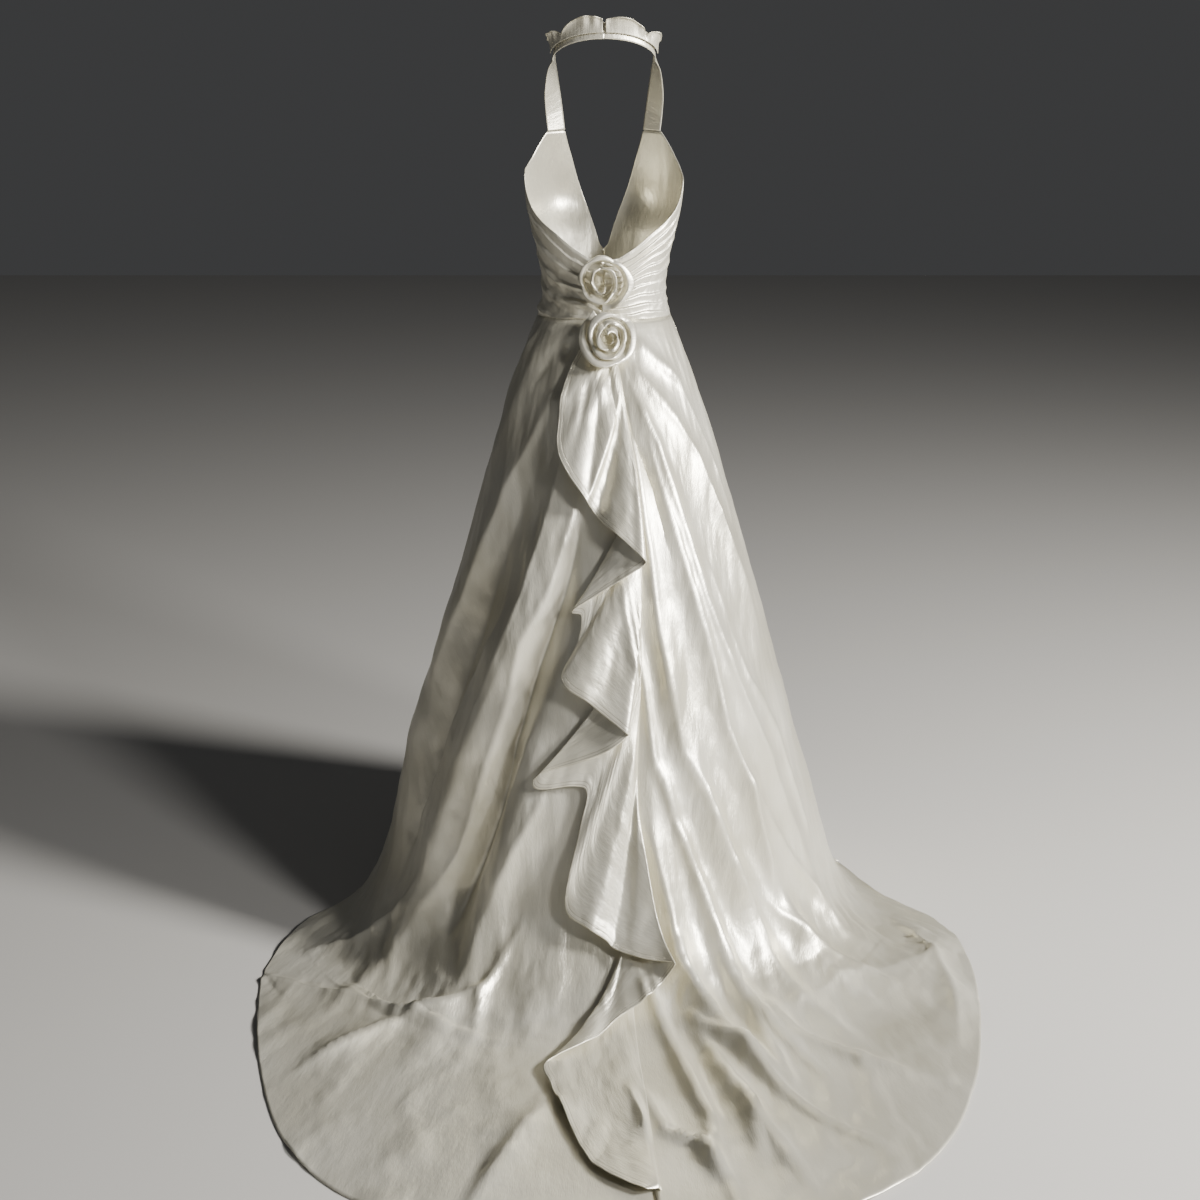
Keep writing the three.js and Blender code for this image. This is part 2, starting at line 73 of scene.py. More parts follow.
# %% A socket that can be calculated with
class Wire:
    def __init__(self, tree, socket):
        self.tree = tree
        self.socket = socket

    def node(self, kind, inputs=(), output=0, **settings):
        made = self.tree.nodes.new(kind)
        for name, value in settings.items():
            setattr(made, name, value)
        for name, value in dict(inputs).items():
            if isinstance(value, Wire):
                self.tree.links.new(value.socket, made.inputs[name])
            else:
                made.inputs[name].default_value = value
        return Wire(self.tree, made.outputs[output])

    def maths(self, operation, other=None, swap=False):
        pair = {0: self} if other is None else {0: self, 1: other}
        if swap:
            pair = {0: other, 1: self}
        return self.node("ShaderNodeMath", pair, operation=operation)

    def __add__(self, other): return self.maths("ADD", other)
    def __radd__(self, other): return self.maths("ADD", other, True)
    def __sub__(self, other): return self.maths("SUBTRACT", other)
    def __rsub__(self, other): return self.maths("SUBTRACT", other, True)
    def __mul__(self, other): return self.maths("MULTIPLY", other)
    def __rmul__(self, other): return self.maths("MULTIPLY", other, True)
    def __truediv__(self, other): return self.maths("DIVIDE", other)
    def sin(self): return self.maths("SINE")
    def below(self, other): return self.maths("LESS_THAN", other)
    def above(self, other): return self.maths("GREATER_THAN", other)

    def limit(self, low, high, to_low=0.0, to_high=1.0):
        values = {"Value": self, "From Min": low, "From Max": high, "To Min": to_low, "To Max": to_high}
        return self.node("ShaderNodeMapRange", values, clamp=True)

    def tint(self, first, second):
        sides = {"Factor": self, 6: first, 7: second}
        return self.node("ShaderNodeMix", sides, output=2, data_type="RGBA")


def new_material(name):
    material = bpy.data.materials.new(name)
    material.use_nodes = True
    tree = material.node_tree
    shader = next(n for n in tree.nodes if n.type == "BSDF_PRINCIPLED")
    return material, tree, shader


# %% [markdown]
# ## Ivory satin
# Bridal satin is a smooth warp-faced cloth: it reflects softly along the weave and shows fine
# slubs across it. The pattern reads the cut of each piece (its UV map, in metres), so the grain
# turns with the cloth. Folds are in the meshes; only slubs, weave and fine crushing are bump. On
# the stitched hem the two stitch rows are sunk as bump and darkened with painted shade.

# %% The satin, with or without a hem whose two stitch rows are sunk and darkened with painted shade
def satin(name, hem=False):
    material, tree, shader = new_material(name)
    start = Wire(tree, None)
    cut = start.node("ShaderNodeTexCoord", output=2)
    grain = start.node("ShaderNodeMapping", {"Vector": cut, "Scale": (900.0, 90.0, 1.0)})
    slub = start.node("ShaderNodeTexNoise", {"Vector": grain, "Scale": 1.0, "Detail": 2.0})
    haze = start.node("ShaderNodeTexNoise", {"Vector": cut, "Scale": 5.0, "Detail": 3.0})
    drawn = start.node("ShaderNodeMapping", {"Vector": cut, "Scale": (30.0, 9.0, 1.0)})
    crush = start.node("ShaderNodeTexNoise", {"Vector": drawn, "Scale": 1.0, "Detail": 4.0, "Roughness": 0.55})
    tone = haze.limit(0.35, 0.65).tint((0.67, 0.64, 0.525, 1.0), (0.79, 0.765, 0.66, 1.0))
    gloss = 0.29 + 0.10 * haze + 0.05 * slub
    height = 0.0005 * slub + 0.005 * crush
    if hem:
        split = start.node("ShaderNodeSeparateXYZ", {"Vector": cut})
        edge, run = split, Wire(tree, split.socket.node.outputs[1])
        rows = ((edge - 0.004).maths("ABSOLUTE").below(0.0009)
                + (edge - 0.0105).maths("ABSOLUTE").below(0.0009))
        dash = (run * (math.tau / 0.004)).sin().above(-0.4)
        stitch = rows * dash
        height = height - 0.0012 * rows + 0.0008 * stitch
        # painted shade: both stitch rows are darkened towards an olive shadow colour, as if lying in the hem's
        # grooves
        tone = (rows * 0.7).tint(tone, (0.42, 0.39, 0.31, 1.0))
    tree.links.new(tone.socket, shader.inputs["Base Color"])
    tree.links.new(gloss.socket, shader.inputs["Roughness"])
    bump = start.node("ShaderNodeBump", {"Height": height, "Strength": 0.55, "Distance": 1.0})
    tree.links.new(bump.socket, shader.inputs["Normal"])
    shader.inputs["Metallic"].default_value = 0.62
    shader.inputs["Specular IOR Level"].default_value = 0.8
    shader.inputs["Anisotropic"].default_value = 0.25
    return material


SATIN = satin("ivory_satin")
# the hem satin carries painted shade along its two stitch rows
SATIN_HEM_PAINTED_SHADE = satin("ivory_satin_stitched_hem_painted_shade", hem=True)
print("materials", [m.name for m in bpy.data.materials])

# %% [markdown]
# ## Curves through sizes
# A pattern cutter gives a few sizes and draws a smooth line through them. `curve` does that, and
# `line` joins them straight.

# %% Two ways to read a table of sizes
def curve(rows, key):
    table = np.array(rows, float)
    xs, values = table[:, 0], table[:, 1:]
    key = np.clip(key, xs[0], xs[-1])
    i = np.clip(np.searchsorted(xs, key, side="right") - 1, 0, len(xs) - 2)
    slope = np.zeros_like(values)
    slope[1:-1] = (values[2:] - values[:-2]) / (xs[2:] - xs[:-2])[:, None]
    slope[0] = (values[1] - values[0]) / (xs[1] - xs[0])
    slope[-1] = (values[-1] - values[-2]) / (xs[-1] - xs[-2])
    span = (xs[i + 1] - xs[i])[..., None]
    t = (key - xs[i])[..., None] / span
    return ((2 * t**3 - 3 * t**2 + 1) * values[i] + (t**3 - 2 * t**2 + t) * span * slope[i]
            + (3 * t**2 - 2 * t**3) * values[i + 1] + (t**3 - t**2) * span * slope[i + 1])


def line(rows, key):
    table = np.array(rows, float)
    return [np.interp(key, table[:, 0], column) for column in table[:, 1:].T]


def smooth(t):
    q = np.clip(t, 0.0, 1.0)
    return q * q * (3 - 2 * q)


def unit(v):
    return v / (np.linalg.norm(v, axis=-1, keepdims=True) + 1e-12)


def cloth_noise(u, v, scale, seed):
    flat = [noise.noise(Vector((a * scale, b * scale, seed))) for a, b in zip(u.ravel(), v.ravel())]
    return np.array(flat).reshape(u.shape)


# %% [markdown]
# ## From a grid to a shell of cloth
# Each piece starts as a flat grid. A function lifts every point of it onto the body, the flat
# place of the point in the cut becomes its UV, and Solidify gives it the thickness of the cloth.
# A cloth simulation would settle the folds by itself, but not into the folds this dress has, so
# they are placed one by one.

# %% Make one piece of cloth
def cloth(name, across, down, place, cut, facing, material, nodes, columns=None):
    bm = bmesh.new()
    bmesh.ops.create_grid(bm, x_segments=across, y_segments=down, size=0.5)
    flat = np.array([v.co[:2] for v in bm.verts]) + 0.5
    c = flat[:, 0] if columns is None else np.interp(flat[:, 0], *columns)
    r = flat[:, 1]
    points = place(c, r)
    u, v = cut(c, r)
    for vert, co in zip(bm.verts, points):
        vert.co = co
    layer = bm.loops.layers.uv.new("cut")
    for face in bm.faces:
        for loop in face.loops:
            loop[layer].uv = (u[loop.vert.index], v[loop.vert.index])
    bm.normal_update()
    side = sum(face.normal.dot(facing(face.calc_center_median())) for face in bm.faces)
    if side < 0:
        bmesh.ops.reverse_faces(bm, faces=bm.faces)
    area = sum(face.calc_area() for face in bm.faces)
    mesh = bpy.data.meshes.new(name)
    bm.to_mesh(mesh)
    bm.free()
    mesh.shade_smooth()
    piece = bpy.data.objects.new(name, mesh)
    bpy.context.scene.collection.objects.link(piece)
    piece.data.materials.append(material)
    shell = piece.modifiers.new("thickness", "SOLIDIFY")
    shell.thickness = CLOTH
    shell.offset = 0.0
    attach(piece, "root")
    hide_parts(*nodes)
    width, length = float(np.ptp(u)), float(np.ptp(v))
    print(f"{name}: cut {width:.3f} x {length:.3f} m, cloth {area:.3f} m2, {len(mesh.polygons)} faces")
    return piece, (width, length), area


def away_from_axis(point):
    return Vector((point.x, point.y, 0.25 if point.z > 0.05 - NECK else 3.0))


# %% [markdown]
# ## The skirt without folds
# The skirt hangs straight from the waist seam to a ring on the floor, with some fullness over the
# hips, and then lies on the floor out to the hem. Angles are counted from the centre back, plus to
# the wearer's right.

# %% Sizes of the skirt, in metres and degrees
WAIST_Z = 1.116
HEM = [
    (-180, 0, -0.41), (-150, 0.222, -0.355), (-120, 0.388, -0.205), (-108, 0.43, -0.1),
    (-96, 0.482, 0.045), (-84, 0.556, 0.16), (-72, 0.6, 0.335), (-60, 0.587, 0.5),
    (-48, 0.545, 0.7), (-36, 0.478, 0.885), (-24, 0.372, 1.02), (-12, 0.205, 1.105),
    (0, 0, 1.135), (12, -0.215, 1.11), (24, -0.385, 1.03), (36, -0.506, 0.898),
    (48, -0.59, 0.705), (60, -0.64, 0.48), (72, -0.655, 0.3), (84, -0.622, 0.16),
    (96, -0.532, 0.035), (108, -0.474, -0.105), (120, -0.398, -0.205), (150, -0.228, -0.355),
    (180, 0, -0.41)]
WRAP_LINE = [
    (0, 4), (0.076, 5), (0.136, 9), (0.239, 12), (0.411, 12.5), (0.652, 9.8), (0.825, 7.3),
    (0.997, 5.6), (1.195, 4.8), (1.461, 4.5), (1.7, 4.3)]
KNEE = 0.62
SEAM_FORWARD = 18
LAP_SPAN = 4 / 22


def turned(deg):
    return np.where(deg > 180, deg - 360, deg)


def waist_at(deg):
    a = np.radians(deg)
    c = np.cos(a)
    return np.stack([-0.117 * np.sin(a), c * np.where(c > 0, 0.096, 0.104), 0 * a + WAIST_Z], -1)


def floor_at(deg):
    a = np.radians(deg)
    c = np.cos(a)
    side = np.where(deg < 0, 0.447, 0.462)
    return np.stack([-side * np.sin(a), c * np.where(c > 0, 0.5, 0.41), 0 * a], -1)


def lengths(deg):
    d = turned(deg)
    ring = floor_at(d)
    hem = curve(HEM, d)
    return (np.linalg.norm(waist_at(d) - ring, axis=-1),
            np.hypot(hem[..., 0] - ring[..., 0], hem[..., 1] - ring[..., 1]))


def plain_skirt(deg, s):
    d = turned(deg)
    top, ring = waist_at(d), floor_at(d)
    hem = np.concatenate([curve(HEM, d), 0 * top[..., :1]], -1)
    down, along = lengths(d)
    c = np.cos(np.radians(d))
    bend = np.maximum(1e-6, np.minimum(0.09 + 0.11 * np.clip(c, 0, 1), along))
    t = (np.clip(s, 0, down - bend) / down)[..., None]
    p = top + (ring - top) * t
    q = np.clip((s - down + bend) / (2 * bend), 0, 1)[..., None]
    a = top + (ring - top) * ((down - bend) / down)[..., None]
    b = ring + (hem - ring) * np.where(along > 0.001, bend / np.maximum(along, 0.001), 0)[..., None]
    p = np.where(q > 0, a * (1 - q) ** 2 + ring * 2 * q * (1 - q) + b * q * q, p)
    w = np.clip((s - down) / np.maximum(along, 1e-6), 0, 1)[..., None]
    p = np.where((s > down + bend)[..., None], ring + (hem - ring) * w, p)
    full = 0.01 + 0.026 * np.clip(c, 0, 1) + 0.004 * np.clip(-c, 0, 1)
    rise = full * np.clip(np.sin(np.pi * np.clip(s / down, 0, 1) ** 0.55), 0, 1) ** 1.3
    out = ring - top
    out[..., 2] = 0
    return p + unit(out) * rise[..., None]


def normal_of(surface, a, b, da, db, toward):
    n = unit(np.cross(surface(a + da, b) - surface(a - da, b), surface(a, b + db) - surface(a, b - db)))
    side = np.sign((n * toward).sum(-1, keepdims=True))
    return n * np.where(side == 0, 1, side)


def outward(deg):
    a = np.radians(deg)
    return np.stack([-np.sin(a), np.cos(a), 0 * a + 0.6], -1)


# %% [markdown]
# ## The folds
# Each fold is a line down the cloth with a height and a spread. The first list holds the main
# ones, which the solids have too. The second adds the creases that catch the light: sharp
# ridges where the cloth is pulled from the roses, and shallow ones on the train.

# %% Folds: spread, then points of length down (m), degrees, height (mm)
FOLDS = [
    (0.040, [(0.01, -44, 4), (0.06, -48, 13), (0.15, -54, 14), (0.24, -60, 8), (0.32, -62, 0)]),
    (0.050, [(0.09, -27, 0), (0.295, -48, 11), (0.565, -66, 18), (0.8, -76, 17), (1.06, -80, 0)]),
    (0.042, [(0.15, -24, 0), (0.335, -38, -11), (0.575, -52, -20), (0.8, -60, -22),
             (0.97, -64, -14), (1.1, -66, 0)]),
    (0.044, [(0.18, -14, 0), (0.32, -17, 9), (0.545, -29, 17), (0.78, -42, 24), (0.945, -47, 24),
             (1.1, -50, 17), (1.3, -52, 5), (1.5, -52, 0)]),
    (0.038, [(0.3, -9, 0), (0.435, -14, -9), (0.64, -24, -16), (0.88, -33, -21), (1.01, -37, -16),
             (1.15, -40, 0)]),
    (0.040, [(0.5, -9, 0), (0.7, -18, 9), (0.9, -25, 15), (1.06, -29, 15), (1.25, -30, 6), (1.5, -30, 0)]),
    (0.034, [(0.06, 12, 0), (0.17, 36, 4), (0.35, 53, 8), (0.5, 60, 8), (0.8, 68, 0)]),
    (0.036, [(0.06, 10, 0), (0.21, 24, 5), (0.5, 36, 10), (0.79, 50, 15), (0.95, 57, 14),
             (1.1, 61, 10), (1.35, 64, 0)]),
    (0.034, [(0.15, 20, 0), (0.415, 27, 7), (0.6, 33, 10), (0.825, 40, 14), (0.965, 43, 16),
             (1.1, 46, 14), (1.3, 49, 6), (1.5, 50, 0)]),
    (0.034, [(0.12, 13, 0), (0.35, 16, 6), (0.665, 21, 12), (0.96, 31, 17), (1.1, 35, 14),
             (1.3, 39, 8), (1.52, 41, 0)]),
    (0.034, [(0.7, 11, 0), (0.895, 13, 9), (1.01, 15, 13), (1.12, 16, 15), (1.27, 18, 13),
             (1.395, 21, 10), (1.56, 24, 0)])]
FOLD_GAIN = 1.2
CREASE_GAIN = 1.75
CREASE_WIDE = 1.25
CREASES = [
    # left panel: sharp ridges and the narrow troughs beside them
    (0.012, [(0.2, -19, 0), (0.30, -21.5, 4), (0.42, -26.5, 6), (0.55, -32.4, 6), (0.7, -40.7, 3),
         (0.8, -43, 0)]),
    (0.012, [(0.29, -10, 0), (0.38, -15, 5), (0.46, -18.8, 7), (0.56, -27, 6), (0.66, -29.9, 6),
             (0.79, -34.9, 7), (0.95, -39.9, 7), (1.06, -46.5, 4), (1.2, -50, 0)]),
    (0.013, [(0.3, -7.2, 0), (0.435, -13, -6), (0.52, -18, -7), (0.6, -23, -8), (0.74, -29, -9),
             (0.86, -31, -9), (1.01, -38, -9), (1.1, -39, -3), (1.2, -40, 0)]),
    (0.012, [(0.66, -19, 0), (0.74, -22.7, 5), (0.82, -26.5, 6), (0.95, -30.9, 5), (1.1, -34, 0)]),
    (0.014, [(0.78, -15, 0), (0.84, -17.5, 5), (0.92, -22.8, 6), (0.99, -26.2, 4), (1.08, -29, 0)]),
    (0.016, [(0.13, -29, 3), (0.295, -45, 6), (0.42, -53, 6), (0.565, -62, 4), (0.7, -70, 0)]),
    (0.014, [(0.48, -35, 0), (0.56, -39, 5), (0.66, -48, 6), (0.78, -53.4, 6), (0.9, -58, 5),
         (1.02, -62, 0)]),
    (0.010, [(0.03, -22, 0), (0.055, -27, -7), (0.08, -31, 0)]),
    (0.010, [(0.05, -34, 0), (0.085, -40, -6), (0.12, -44, 0)]),
    (0.009, [(0.02, -62, 0), (0.05, -60, 4), (0.12, -66, 4), (0.2, -72, 0)]),
    # right panel: fine ridges fanning from the lower rose
    (0.008, [(0.03, 22, 0), (0.045, 25, 4), (0.095, 43, 4), (0.12, 53, 0)]),
    (0.009, [(0.07, 14, 0), (0.1, 22, 3), (0.17, 36.5, 5), (0.24, 47, 5), (0.35, 53.7, 5),
         (0.46, 59, 3), (0.6, 64, 0)]),
    (0.008, [(0.08, 11, 0), (0.14, 18, 3), (0.21, 24, 5), (0.355, 30, 6), (0.5, 35, 6),
         (0.67, 43.8, 5), (0.8, 51, 3), (0.95, 56, 0)]),
    (0.010, [(0.42, 40, 0), (0.5, 43, 3), (0.65, 50, 5), (0.76, 59.8, 5), (0.91, 64, 4), (1.02, 67, 0)]),
    (0.009, [(0.2, 20, 0), (0.29, 23, 4), (0.415, 27.7, 6), (0.54, 32, 6), (0.6, 34, 5), (0.72, 35.7, 5),
             (0.83, 40.6, 6), (0.97, 42.6, 5), (1.05, 42, 0)]),
    (0.010, [(0.12, 9, 0), (0.18, 12, -4), (0.29, 20, -5), (0.42, 24, 0)]),
    (0.009, [(0.14, 13, 0), (0.23, 14, 4), (0.35, 15, 6), (0.4, 16, 6), (0.53, 17, 6), (0.67, 20, 6),
             (0.75, 21.3, 5), (0.82, 26.5, 6), (0.9, 30, 6), (1.03, 35, 5), (1.15, 38, 0)]),
    (0.009, [(0.38, 6, 0), (0.47, 8, 3), (0.57, 10, 5), (0.63, 12, 5), (0.76, 13.5, 6), (0.8, 16, 7),
             (0.89, 19, 6), (1.0, 24, 5), (1.15, 27, 0)]),
    (0.012, [(0.78, 40, 0), (0.83, 42.3, 4), (0.99, 52.4, 6), (1.06, 58.6, 4), (1.15, 62, 0)]),
    (0.010, [(0.05, 33, 0), (0.12, 50, 3), (0.25, 63, 3), (0.4, 70, 0)]),
    # train, the wearer's right
    (0.012, [(0.86, 11.5, 0), (0.9, 12, 4), (1.01, 14.7, 6), (1.12, 15.4, 7), (1.27, 18.8, 7),
         (1.4, 22.2, 6), (1.5, 24.5, 0)]),
    (0.012, [(0.86, 19, 0), (0.9, 20, 4), (1.06, 25, 6), (1.15, 25, 6), (1.29, 26.7, 6),
         (1.45, 25, 4), (1.52, 24, 0)]),
    (0.012, [(1.24, 15, 0), (1.3, 16.5, 5), (1.38, 21, 6), (1.5, 22.3, 6), (1.59, 24.6, 5),
         (1.67, 28, 3), (1.72, 30, 0)]),
    (0.012, [(1.1, 8.5, 0), (1.19, 9.2, 5), (1.35, 10.9, 7), (1.54, 11.8, 7), (1.65, 10.5, 4),
         (1.7, 10, 0)]),
    (0.014, [(1.3, 15.5, 0), (1.36, 16.2, 5), (1.53, 17.4, 7), (1.6, 16, 5), (1.68, 15, 0)]),
    (0.010, [(1.42, 4.5, 0), (1.47, 5.4, 4), (1.56, 6.5, 6), (1.6, 9.7, 7), (1.66, 10.5, 6), (1.7, 11, 4)]),
    (0.040, [(1.2, 44, 0), (1.27, 49, 4), (1.37, 66, 5), (1.42, 74, 0)]),
    (0.026, [(1.27, 79, 0), (1.33, 73, 5), (1.39, 66, 7), (1.48, 57, 6), (1.58, 48, 0)]),
    (0.020, [(0.95, 21, 0), (1.01, 23, 5), (1.113, 26.2, 8), (1.26, 27.5, 8), (1.41, 29, 6),
         (1.55, 31, 0)]),
    (0.022, [(0.93, 33, 0), (0.99, 36, 5), (1.117, 46, 8), (1.243, 53, 8), (1.36, 55, 6), (1.45, 58, 0)]),
    (0.020, [(1.2, 28.5, 0), (1.26, 30, 5), (1.387, 32, 8), (1.467, 36, 8), (1.54, 40, 5), (1.62, 45, 0)]),
    (0.018, [(1.36, 15, 0), (1.43, 16, 5), (1.55, 17, 7), (1.66, 18, 6), (1.76, 18.5, 2)]),
    # train, the wearer's left
    (0.022, [(1.0, -49, 0), (1.08, -54, 8), (1.17, -60, 9), (1.27, -67, 7), (1.36, -72, 0)]),
    (0.012, [(1.03, -19, 0), (1.1, -21.6, 5), (1.21, -25, 6), (1.28, -23.5, 4), (1.34, -22, 0)]),
    (0.016, [(1.18, -24, 0), (1.22, -27, 4), (1.275, -31.8, 6), (1.31, -37, 7), (1.335, -48.7, 6),
             (1.37, -56.7, 5), (1.43, -68, 4)]),
    (0.018, [(1.26, -33, 0), (1.31, -35.2, 4), (1.37, -39.3, 6), (1.5, -43.4, 5), (1.6, -45, 0)]),
    (0.024, [(1.45, -7, 0), (1.54, -8.5, 7), (1.65, -10.3, 8), (1.75, -11.6, 3)])]


def fold_sum(folds, deg, s, power, wide=1.0):
    p = plain_skirt(deg, s)
    reach = np.hypot(p[..., 0], p[..., 1]) * math.pi / 180
    h = np.zeros_like(s)
    for spread, at in folds:
        centre, height = line(at, s)
        inside = (s > at[0][0]) & (s < at[-1][0] if at[-1][2] == 0 else True)
        slant = (line(at, s + 0.004)[0] - line(at, s - 0.004)[0]) * reach / 0.008
        away = np.abs(turned(deg) - centre) * reach / (spread * wide * np.sqrt(1 + slant**2))
        h += np.where(inside, height / 1000 * np.exp(-(away ** power)), 0)
    return h


def fold_height(deg, s):
    d = turned(deg)
    side = 90 + SEAM_FORWARD * np.clip(s / 1.18, 0, 1) - np.abs(d)
    h = FOLD_GAIN * fold_sum(FOLDS, d, s, 1.6) + CREASE_GAIN * fold_sum(CREASES, d, s, 1.1, CREASE_WIDE)
    h = h * smooth(side / 12)
    down, _ = lengths(d)
    lying = smooth((s - down + 0.16) / 0.2)
    return h * (1 - lying) + lying * 0.85 * (h + np.sqrt(h * h + 9e-6) - 0.003)


def skirt_face(deg, s):
    d = turned(deg)
    n = normal_of(plain_skirt, d, s, 0.05, 0.0015, outward(d))
    p = plain_skirt(d, s) + n * fold_height(d, s)[..., None]
    p[..., 2] = np.maximum(0, p[..., 2])
    return p


def on_skirt(deg, s, lift):
    inside = np.minimum(s, sum(lengths(deg)) - 0.006)
    n = normal_of(skirt_face, deg, inside, 0.3, 0.004, outward(turned(deg)))
    p = skirt_face(deg, s) + n * np.asarray(lift)[..., None]
    p[..., 2] = np.maximum(p[..., 2], np.clip(lift, 0.001, 0.02))
    return p - np.array([0, 0, NECK])


print("hem ring to train end", [round(float(x), 3) for x in lengths(np.array([0.0]))[1]], "m")

# %% [markdown]
# ## Skirt panels
# The over panel is wrapped from the wearer's right across the centre back; the under panel runs
# beneath it. Both take their points from the same surface, so they lie on each other.

# %% Places on the panels
def hang_at(deg, share):
    down, along = lengths(deg)
    kneed = np.where(share < KNEE, down * share / KNEE, down + along * (share - KNEE) / (1 - KNEE))
    even = 1 - smooth(along / 0.15)
    return kneed * (1 - even) + (down + along) * share * even


def seam_at(share):
    return 90 + SEAM_FORWARD * np.minimum(1, share / KNEE)


def back_place(side, c, share):
    edge = side * seam_at(share)
    deg = edge + 0 * c
    for _ in range(4):
        seam = line(WRAP_LINE, hang_at(deg, share))[0]
        deg = seam + c * (edge - seam)
    return deg, hang_at(deg, share)


def crumple(deg, s, strength):
    u, v = np.radians(deg) * (0.35 + 0.3 * s), s
    soft = cloth_noise(u, v * 0.6, 8.0, 3.1) * 0.0045 + cloth_noise(u, v * 0.5, 21.0, 7.7) * 0.0024
    fine = cloth_noise(u, v * 0.7, 46.0, 1.3) * 0.0009
    lying = 1 + 0.9 * smooth((s - 1.0) / 0.2)
    return (soft + fine) * strength * smooth(s / 0.06) * lying


def skirt_cut(deg, s):
    spread = np.radians(turned(deg)) * 0.33
    return (s + 0.39) * np.sin(spread), -(s + 0.39) * np.cos(spread)


def under_place(c, r):
    k = c * 26 - 4
    left = back_place(-1, np.clip(k / 22, 0, 1), r)
    right = back_place(1, np.clip(-k / 4 * LAP_SPAN, 0, 1), r)
    return np.where(k < 0, right[0], left[0]), np.where(k < 0, right[1], left[1])


def under_panel(c, r):
    deg, s = under_place(c, r)
    wrinkle = crumple(deg, s, 1.0) * smooth((-deg - 2) / 10) * smooth((deg + 106) / 10)
    return on_skirt(deg, s, 0.001 + wrinkle)


def over_panel(c, r):
    deg, s = back_place(1, c, r)
    lift = LAP * (1 - smooth((c - LAP_SPAN - 0.04) / 0.2)) + 0.001
    wrinkle = crumple(deg, s, 1.0) * smooth((106 - deg) / 10)
    free = smooth((c - LAP_SPAN - 0.04) / 0.2)
    held = smooth((c - 0.03) * 14)
    return on_skirt(deg, s, lift + free * wrinkle + (1 - free) * held * np.abs(wrinkle))


def front_place(c, r):
    deg = 180 + (2 * c - 1) * (180 - seam_at(r))
    return deg, hang_at(deg, r)


def front_panel(c, r):
    deg, s = front_place(c, r)
    near = smooth(np.minimum(deg - 92, 268 - deg) / 14)
    turn = np.radians(deg - 180) * 9
    flute = (0.5 + 0.5 * np.cos(turn + 1.1 * np.sin(turn * 0.37) + 0.5 * s)) ** 1.3
    tall = 0.024 * smooth((s - 0.1) / 1.0) * near
    return on_skirt(deg, s, 0.001 + tall * flute + np.abs(crumple(deg, s, 0.5)) * near)


# %% Cut and hang the panels
UNDER, OVER, FRONT = (210, 212), (212, 204), (96, 110)
skirt_left = cloth("skirt_under_panel", *UNDER, under_panel, lambda c, r: skirt_cut(*under_place(c, r)),
                   away_from_axis, SATIN, ["skirt_back_left"])
skirt_right = cloth("skirt_over_panel", *OVER, over_panel, lambda c, r: skirt_cut(*back_place(1, c, r)),
                    away_from_axis, SATIN, ["skirt_back_right"])


def front_cut(c, r):
    deg, s = front_place(c, r)
    spread = np.radians(deg - 180) * 0.31
    return (s + 0.39) * np.sin(spread), -(s + 0.39) * np.cos(spread)


skirt_front = cloth("skirt_front_panel", *FRONT, front_panel, front_cut,
                    away_from_axis, SATIN, ["skirt_front"])

# %% [markdown]
# ## The waterfall flounce
# The flounce is a long strip sewn to the over panel's left edge. Its free edge is much longer
# than the seam, so it falls in tiers: across to the right, back to the left underneath, and
# across again lower down. The table gives seam and free edge side by side.

# %% Seam: length down, degrees. Free edge: length down, degrees, stand-off (mm)
# The soft valleys of its top tier run down from under the lower rose.
VALLEYS = [(0.008, [(0.05, 1, 0), (0.075, 2.4, -7), (0.14, 4.8, -8), (0.2, 7.5, 0)]),
           (0.009, [(0.12, -2.6, 0), (0.17, -3.5, -8), (0.28, -5.4, -8), (0.35, -6.4, 0)]),
           (0.007, [(0.09, -8, 0), (0.14, -9.5, -5), (0.21, -12, -5), (0.27, -13.5, 0)])]
FLOUNCE = [
    (22, 6.5, 22, -10, 9), (36, 6.5, 60, -17, 10), (50, 7, 95, -21, 12), (64, 7.5, 165, -21.5, 26),
    (80, 8, 235, -18.6, 34), (104, 9, 303, -7.8, 33), (122, 9.6, 322, -5.2, 24),
    (140, 10.2, 345, -1.5, 34), (166, 11, 379, 5.6, 44), (192, 11.4, 412, 11.2, 50),
    (214, 11.7, 423, 12.2, 40), (238, 12, 440, 7.3, 31), (270, 12.1, 468, -1.4, 24),
    (300, 12.2, 500, -10.4, 18), (318, 12.2, 508, -7.5, 14), (338, 12.3, 552, -8.2, 18),
    (372, 12.3, 617, -11.9, 30), (410, 12.4, 656, -3.8, 38), (450, 12.2, 702, 4.6, 50),
    (476, 12, 714, 5.4, 41), (508, 11.6, 744, -1.1, 31), (540, 11.1, 782, -16.5, 22),
    (560, 10.9, 808, -17.2, 17), (580, 10.7, 800, -8, 14), (596, 10.5, 812, -4.5, 15),
    (620, 10.2, 876, -6.1, 18), (646, 9.9, 1005, -8.8, 30), (684, 9.4, 1047, -3.6, 37),
    (716, 9, 1072, 0.2, 32), (742, 8.6, 1090, 2, 24), (778, 8, 1118, 6.9, 38),
    (820, 7.4, 1150, 12.4, 46), (858, 7, 1180, 11.3, 36), (900, 6.5, 1224, 7.2, 28),
    (948, 6.1, 1262, 2, 22), (1000, 5.6, 1322, -2.3, 21), (1060, 5.3, 1384, -8.6, 16),
    (1120, 5, 1440, -7.2, 12), (1200, 4.8, 1508, -5.1, 11), (1300, 4.7, 1564, -3.6, 11),
    (1420, 4.6, 1640, -1.4, 10), (1540, 4.4, 1684, 1, 10), (1706, 4.3, 1716, 3.6, 10)]


